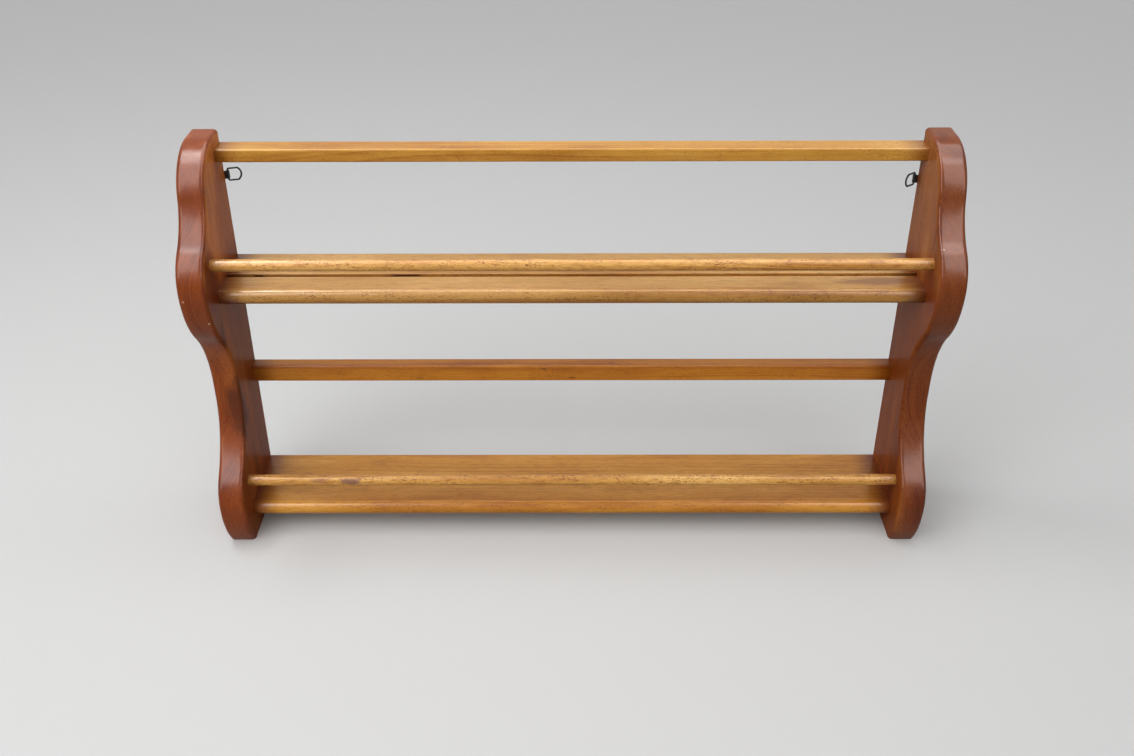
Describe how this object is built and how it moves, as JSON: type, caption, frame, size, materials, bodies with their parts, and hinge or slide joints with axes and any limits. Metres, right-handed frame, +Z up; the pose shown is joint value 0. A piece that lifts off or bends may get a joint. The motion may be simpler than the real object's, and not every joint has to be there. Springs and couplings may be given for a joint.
{
  "type": "wall plate rack",
  "caption": "Wooden wall rack with wavy sides, grooved shelves, round front bars and back rails that hold plates on edge; small swinging rings hang it.",
  "frame": {"origin": "under the middle of the rack, at the level of its feet, half way through its overall depth", "axes": "+X along the shelves to the rack's right as seen from the front, +Y back to the wall, +Z up"},
  "size_m": [0.914, 0.1556, 0.528],
  "materials": {
    "side_wood": "gloss varnish over red-brown stained wood",
    "shelf_wood": "satin varnish over golden wood",
    "rail_wood": "satin varnish over golden brown wood",
    "dowel_wood": "satin varnish over golden wood",
    "pin_wood": "bare",
    "black_wire": "black",
    "black_strap": "black",
    "screw_steel": "black"
  },
  "bodies": {
    "rack": {"left_side": "side_wood", "right_side": "side_wood", "top_rail": "rail_wood", "middle_rail": "rail_wood", "upper_shelf": "shelf_wood", "lower_shelf": "shelf_wood", "upper_front_dowel": "dowel_wood", "lower_front_dowel": "dowel_wood", "upper_shelf_left_pins": "pin_wood", "upper_shelf_right_pins": "pin_wood", "lower_shelf_left_pins": "pin_wood", "lower_shelf_right_pins": "pin_wood", "top_rail_left_pins": "pin_wood", "top_rail_right_pins": "pin_wood", "middle_rail_left_pins": "pin_wood", "middle_rail_right_pins": "pin_wood", "left_hanger_strap": "black_strap", "right_hanger_strap": "black_strap", "left_hanger_screw": "screw_steel", "right_hanger_screw": "screw_steel"},
    "left_ring": {"left_hanger_ring": "black_wire"},
    "right_ring": {"right_hanger_ring": "black_wire"}
  },
  "joints": [
    {"name": "left_ring_swing", "type": "hinge", "parent": "rack", "child": "left_ring", "pos_m": [-0.4205, 0.07237, 0.4695], "axis": [0, 0, 1], "range_deg": [-106, 154]},
    {"name": "right_ring_swing", "type": "hinge", "parent": "rack", "child": "right_ring", "pos_m": [0.4205, 0.07237, 0.4625], "axis": [0, 0, -1], "range_deg": [-52, 208]}
  ]
}
